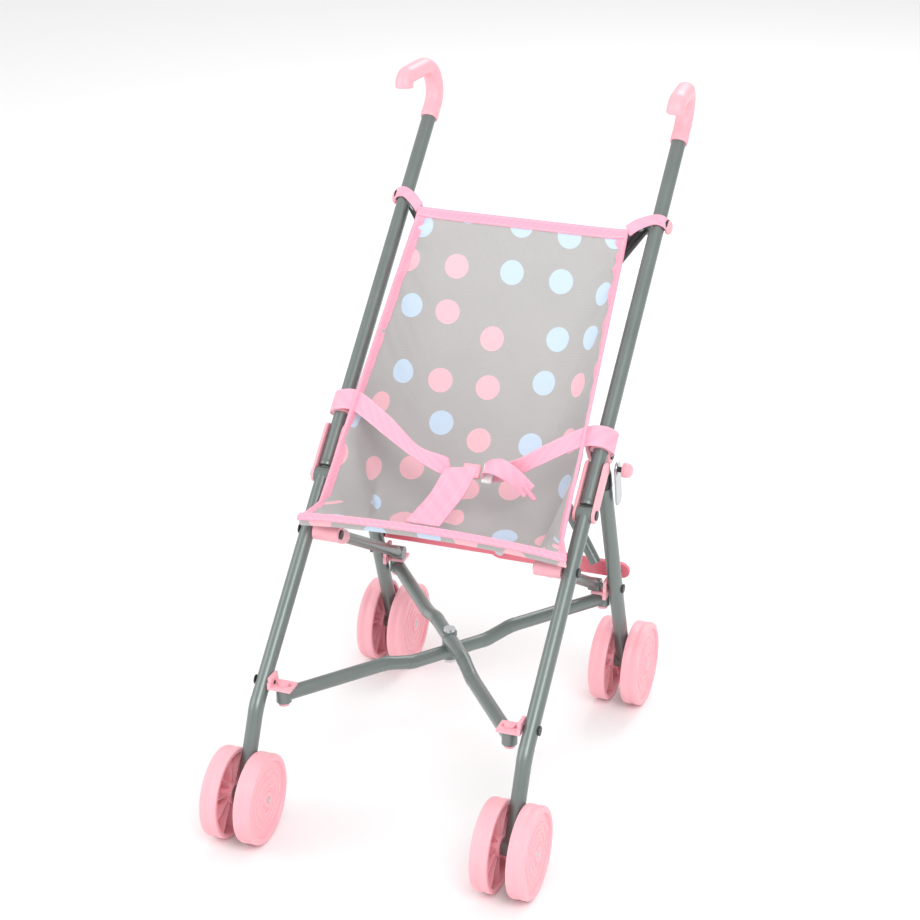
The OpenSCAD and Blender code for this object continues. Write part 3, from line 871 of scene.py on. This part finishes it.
def block(name, centre, size, finish, turn, bevel=1.0 * MM, replaces=()):
    """A rounded block on the straps, turned and then put in its place."""
    bm = bmesh.new()
    bmesh.ops.create_cube(bm, size=1.0)
    bmesh.ops.scale(bm, verts=bm.verts, vec=size)
    bmesh.ops.bevel(bm, geom=list(bm.edges), offset=bevel, segments=3, profile=0.5,
                    affect="EDGES", material=-1)
    bmesh.ops.rotate(bm, verts=bm.verts, cent=(0, 0, 0), matrix=turn)
    bmesh.ops.translate(bm, verts=bm.verts, vec=centre)
    squash_with_frame(finish_piece(bm, name, finish, SEAT_BODY, replaces))


lap = Matrix.Rotation(math.radians(-35), 3, "X")
hanging = Matrix.Rotation(math.radians(-38), 3, "Y")
block("lap_buckle", BUCKLE + Vector((5, -1, 1)) * MM, Vector((15, 6, 12)) * MM, pink_plastic,
      lap, 1.6 * MM, ["buckle"])
block("strap_slider", BUCKLE + Vector((20, -3, 2)) * MM, Vector((9, 3.4, 17)) * MM,
      white_plastic, lap, 1.2 * MM)
block("loose_end_fold", Vector((68, -46.6, 262)) * MM, Vector((4, 3, 16)) * MM, webbing,
      hanging)


def disc(name, centre, radius, depth, finish, body, sign, replaces=()):
    """A domed button on the outside of a tube."""
    bm = bmesh.new()
    profile = [(0, 0), (0, radius * 0.96), (depth * 0.35, radius), (depth * 0.75, radius * 0.86),
               (depth, radius * 0.5), (depth, 0)]
    verts = [bm.verts.new((x, 0, r)) for x, r in profile]
    edges = [bm.edges.new(pair) for pair in zip(verts, verts[1:])]
    bmesh.ops.spin(bm, geom=edges, cent=(0, 0, 0), axis=(1, 0, 0), angle=2 * math.pi, steps=32,
                   use_merge=True)
    if sign < 0:
        mirror_x(bm)
    bmesh.ops.translate(bm, verts=bm.verts, vec=centre)
    return finish_piece(bm, name, finish, body, replaces)


for side, sign in SIDES:
    place = on_handle(CORNER_S - 1 * MM, 2 * MM, sign * (HALF_W + 8.2 * MM))
    disc(side + "_strap_button", place,
         BUTTON_R, BUTTON_DEPTH, pink_plastic, side + "_handle", sign)
print("small mouldings made")

# %% [markdown]
# ## Knuckle cheeks and side latches
# Flat stamped or moulded plates with round ends start as an outline, which is filled, extruded
# sideways and bevelled. Two such cheeks hold each handle's lower end, and each latch is a plate
# on the rear leg with a knob on a short stub.


# %% Plates and pins
CHEEK = 2.6 * MM
CHEEK_R = 7 * MM
CHEEK_LEN = 40 * MM
CHEEK_GAP = 0.4 * MM
LATCH_X = 122.4 * MM
LATCH_THICK = 2 * MM
KNOB = Vector((0, 21, 263)) * MM
KNOB_R = 6.6 * MM
KNOB_DEPTH = 8 * MM
STUB_R = 2.4 * MM
END_STEPS = 12
PIN_EDGE = 0.5 * MM
SHARP_TURN = 1.2


def soften(bm, width):
    """Round the edges where a flat face meets a wall."""
    rim = [edge for edge in bm.edges if edge.calc_face_angle(0) > SHARP_TURN]
    bmesh.ops.bevel(bm, geom=rim, offset=width, segments=2, profile=0.5, affect="EDGES",
                    material=-1)


def stadium(name, a, b, radius, x, thick, finish, body, replaces=()):
    """A flat plate with round ends about a and b, whose inner face stands at x."""
    along = (b - a).normalized()
    out = Vector((1, 0, 0)).cross(along)
    bm = bmesh.new()
    outline = []
    for centre, first in ((b, -math.pi / 2), (a, math.pi / 2)):
        for i in range(END_STEPS + 1):
            angle = first + math.pi * i / END_STEPS
            outline.append(bm.verts.new(centre + radius * (math.cos(angle) * along
                                                          + math.sin(angle) * out)))
    face = bm.faces.new(outline)
    grown = bmesh.ops.extrude_face_region(bm, geom=[face])["geom"]
    grown = [g for g in grown if isinstance(g, bmesh.types.BMVert)]
    bmesh.ops.translate(bm, verts=grown, vec=(math.copysign(thick, x), 0, 0))
    bmesh.ops.translate(bm, verts=bm.verts, vec=(x, 0, 0))
    bmesh.ops.recalc_face_normals(bm, faces=bm.faces)
    soften(bm, thick / 4)
    return finish_piece(bm, name, finish, body, replaces)


def pin(name, start, end, radius, finish, body, replaces=()):
    """A short round bar or pipe between two points."""
    axis = end - start
    bm = bmesh.new()
    turn = axis.to_track_quat("Z", "Y").to_matrix().to_4x4()
    bmesh.ops.create_cone(bm, cap_ends=True, segments=32, radius1=radius, radius2=radius,
                          depth=axis.length, matrix=Matrix.Translation((start + end) / 2) @ turn)
    soften(bm, PIN_EDGE)
    return finish_piece(bm, name, finish, body, replaces)


print("cheeks", round(CHEEK_LEN / MM), "mm long, latch plates", round(LATCH_THICK / MM), "mm thick")

# %% [markdown]
# The cheeks and the plug between them ride the handle. The latch turns on the rear leg, so its
# plate, stub and knob ride the latch's own body.

# %% Making the cheeks and latches
for side, sign in SIDES:
    body = side + "_handle"
    low, high = on_handle(0, 0, 0), on_handle(CHEEK_LEN, 0, 0)
    for place, x, stands_for in (("outer", HALF_W + TUBE_R + CHEEK_GAP, [side + "_knuckle"]),
                                 ("inner", HALF_W - TUBE_R - CHEEK_GAP - CHEEK, [])):
        stadium(side + "_" + place + "_cheek", low, high, CHEEK_R, sign * x, CHEEK, pink_plastic,
                body, stands_for)
    pin(side + "_handle_end", on_handle(7.4 * MM, 0, sign * HALF_W),
        on_handle(12.4 * MM, 0, sign * HALF_W), TUBE_R, tube_paint, body)
    pivot = Vector(JOINTS[side + "_latch_release"]["pos_m"])
    pivot.x = 0
    latch = side + "_latch"
    stadium(side + "_latch_arm", pivot, KNOB, CHEEK_R, sign * LATCH_X, LATCH_THICK, zinc, latch,
            [side + "_latch_plate"])
    pin(side + "_latch_stub", KNOB + Vector((sign * 124, 0, 0)) * MM,
        KNOB + Vector((sign * 129, 0, 0)) * MM, STUB_R, dark_steel, latch)
    disc(side + "_push_knob", KNOB + Vector((sign * 128.5, 0, 0)) * MM, KNOB_R, KNOB_DEPTH,
         pink_plastic, latch, sign, [side + "_latch_knob"])
print("cheeks and latches made")

# %% [markdown]
# ## Sleeves of painted shade
# The ends of the upper cross arms and the tops of the rear legs carry short near-black sleeves, which are painted
# shade: they paint the dark that falls on these ends.

# %% Sleeves
REAR_LEAN = math.radians(20.4)
DOWN_REAR = Vector((0, math.tan(REAR_LEAN), -1)).normalized()
ARM_SPAN = Vector((198.2, 81.8, 279.2))
ARM_SLEEVE_R = 6.2 * MM
ARM_SLEEVE_LEN = 46 * MM
ARM_SLEEVE_CAP = 2 * MM
REAR_HALF_W = 112 * MM
REAR_SLEEVE_R = TUBE_R + 0.5 * MM
REAR_SLEEVE_TOP = 22 * MM
REAR_SLEEVE_END = 38 * MM
for side, sign in SIDES:
    top = on_handle(61.6 * MM, 16 * MM, sign * REAR_HALF_W)
    # near-black sleeves: painted shade on the rear leg tops and the arm ends
    pin(side + "_rear_leg_sleeve", top + REAR_SLEEVE_TOP * DOWN_REAR,
        top + REAR_SLEEVE_END * DOWN_REAR, REAR_SLEEVE_R, painted_shade_black, side + "_rear_leg")
    arm = "upper_arm_a" if sign > 0 else "upper_arm_b"
    head = Vector(JOINTS[arm + "_swing"]["pos_m"])
    down = Vector((-sign * ARM_SPAN.x, -ARM_SPAN.y, -ARM_SPAN.z)).normalized()
    pin(arm + "_sleeve", head - ARM_SLEEVE_CAP * down, head + ARM_SLEEVE_LEN * down,
        ARM_SLEEVE_R, painted_shade_black, arm)
print("four sleeves made")

# %% [markdown]
# ## The area of the cloth
# The area of the seat's cut, as laid out before it hangs, is printed in square metres.

# %% Sheets
print("declared one sheet,", round(seat_area, 4), "square metres")

# %% [markdown]
# ## Floor, light and camera
# A pale floor and large soft lights give the even light of a studio. The camera stands in front
# and a little to the right, looking down, with a long lens.

# %% Stage
FLOOR_HALF = 6.0
AIM = Vector((0, 0, 0.25))
SKY = 0.8
bm = bmesh.new()
bmesh.ops.create_grid(bm, x_segments=1, y_segments=1, size=FLOOR_HALF)
floor_mesh = bpy.data.meshes.new("floor")
bm.to_mesh(floor_mesh)
bm.free()
floor = bpy.data.objects.new("floor", floor_mesh)
bpy.context.collection.objects.link(floor)
paper = Finish("paper_floor", (0.93, 0.93, 0.93), 0.9)
floor_mesh.materials.append(paper.material)


def soft_light(name, place, target, size, watts):
    data = bpy.data.lights.new(name, "AREA")
    data.shape = "SQUARE"
    data.size = size
    data.energy = watts
    light = bpy.data.objects.new(name, data)
    bpy.context.collection.objects.link(light)
    light.location = place
    light.rotation_euler = (Vector(target) - Vector(place)).to_track_quat("-Z", "Y").to_euler()


soft_light("key", (1.2, -1.8, 2.2), AIM, 1.4, 34)
soft_light("fill", (-2.0, -1.2, 1.4), AIM, 1.6, 16)
soft_light("back", (0.2, 1.9, 1.9), (0, 0, 0.3), 1.4, 20)
world = bpy.data.worlds.new("studio")
world.use_nodes = True
background = world.node_tree.nodes["Background"]
background.inputs["Color"].default_value = (1, 1, 1, 1)
background.inputs["Strength"].default_value = SKY
bpy.context.scene.world = world
bpy.context.scene.view_settings.view_transform = "Standard"
print("floor, three soft lights and a white sky")

# %% [markdown]
# The camera looks along one direction, set by how far it stands to the side and how high.

# %% Camera
LENS = 93.36
SENSOR_W = 36
CAMERA_PLACE = (0.6238, -1.7400, 1.0844)
AZIMUTH, ELEVATION = math.radians(20), math.radians(24)
camera_data = bpy.data.cameras.new("camera")
camera_data.lens = LENS
camera_data.sensor_width = SENSOR_W
camera = bpy.data.objects.new("camera", camera_data)
bpy.context.collection.objects.link(camera)
camera.location = CAMERA_PLACE
gaze = Vector((-math.sin(AZIMUTH) * math.cos(ELEVATION), math.cos(AZIMUTH) * math.cos(ELEVATION),
               -math.sin(ELEVATION)))
camera.rotation_euler = gaze.to_track_quat("-Z", "Y").to_euler()
bpy.context.scene.camera = camera
print("camera with a", LENS, "mm lens")
